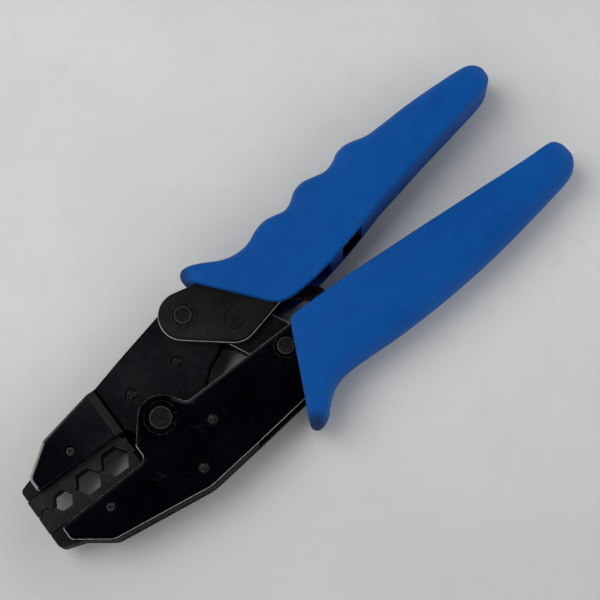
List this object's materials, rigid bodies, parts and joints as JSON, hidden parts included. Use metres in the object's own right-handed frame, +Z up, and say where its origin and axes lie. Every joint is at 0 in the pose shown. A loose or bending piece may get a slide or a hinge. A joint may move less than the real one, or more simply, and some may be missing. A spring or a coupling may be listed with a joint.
{
  "type": "ratchet crimping tool",
  "caption": "Hand ratchet crimping tool: split hexagonal dies in toggle-linked steel jaws, with contoured moulded grips on its handles.",
  "frame": {"origin": "on the main pivot's axis, at the flat lower end face of the main pivot pin; the tool's mid plane is 8 mm above it", "axes": "+X from the main pivot towards the handles, parallel to the parting line of the closed dies; +Y towards the moving jaw and the moving handle; +Z up through the thickness, along every hinge axis"},
  "size_m": [0.2251, 0.0758, 0.019],
  "materials": {
    "black_steel": "black oxide, satin, worn bright along its edges",
    "die_steel": "black oxide over ground tool steel",
    "pin_steel": "black oxide, satin, slightly scuffed",
    "grip_plastic": "fine satin moulding texture",
    "spring_steel": "bare spring wire"
  },
  "bodies": {
    "fixed_frame": {"fixed_plate_top": "black_steel", "fixed_plate_bottom": "black_steel", "fixed_jaw_core": "die_steel", "fixed_handle_spacer": "black_steel", "frame_front_rivet": "pin_steel", "frame_rear_rivet": "pin_steel", "fixed_handle_rivet_front": "pin_steel", "fixed_handle_rivet_rear": "pin_steel", "main_pivot_pin": "pin_steel", "main_pivot_ring": "pin_steel", "link_pivot_pin": "pin_steel", "link_pivot_ring": "pin_steel", "lower_die": "die_steel", "lower_die_screw": "pin_steel", "return_spring": "spring_steel", "spring_anchor_pin": "pin_steel", "fixed_grip": "grip_plastic"},
    "moving_jaw": {"jaw_plate_top": "black_steel", "jaw_plate_bottom": "black_steel", "upper_jaw_core": "die_steel", "jaw_rear_spacer": "black_steel", "jaw_front_rivet": "pin_steel", "jaw_rear_rivet": "pin_steel", "upper_die": "die_steel", "upper_die_screw": "pin_steel"},
    "toggle_link": {"link_plate_top": "black_steel", "link_plate_bottom": "black_steel", "ratchet_sector": "black_steel", "link_rivet": "pin_steel", "spring_post": "pin_steel"},
    "moving_handle": {"handle_plate_top": "black_steel", "handle_plate_bottom": "black_steel", "handle_spacer": "black_steel", "handle_rivet_front": "pin_steel", "handle_rivet_rear": "pin_steel", "jaw_handle_pin": "pin_steel", "jaw_pin_ring": "pin_steel", "handle_link_pin": "pin_steel", "moving_grip": "grip_plastic", "pawl_pin": "pin_steel", "pawl_spring_post": "pin_steel", "pawl_spring": "spring_steel"},
    "pawl": {"ratchet_pawl": "black_steel"}
  },
  "joints": [
    {"name": "handle_swing", "type": "hinge", "parent": "toggle_link", "child": "moving_handle", "pos_m": [0.0406, 0.0127, 0.008], "axis": [0, 0, 1], "range_deg": [0, 52]},
    {"name": "link_swing", "type": "hinge", "parent": "fixed_frame", "child": "toggle_link", "pos_m": [0.0489, -0.0061, 0.008], "axis": [0, 0, 1], "range_deg": [-24.6, 0], "deforming": ["return_spring"]},
    {"name": "jaw_swing", "type": "hinge", "parent": "fixed_frame", "child": "moving_jaw", "pos_m": [0, 0, 0.008], "axis": [0, 0, 1], "range_deg": [-11, 0]},
    {"name": "pawl_tilt", "type": "hinge", "parent": "moving_handle", "child": "pawl", "pos_m": [0.058, 0.013, 0.008], "axis": [0, 0, 1], "range_deg": [-2, 18], "deforming": ["pawl_spring"]}
  ],
  "couplings": [
    {"joint": "link_swing", "follows": "handle_swing", "ratio": -0.46516},
    {"joint": "jaw_swing", "follows": "handle_swing", "ratio": -0.20499}
  ]
}
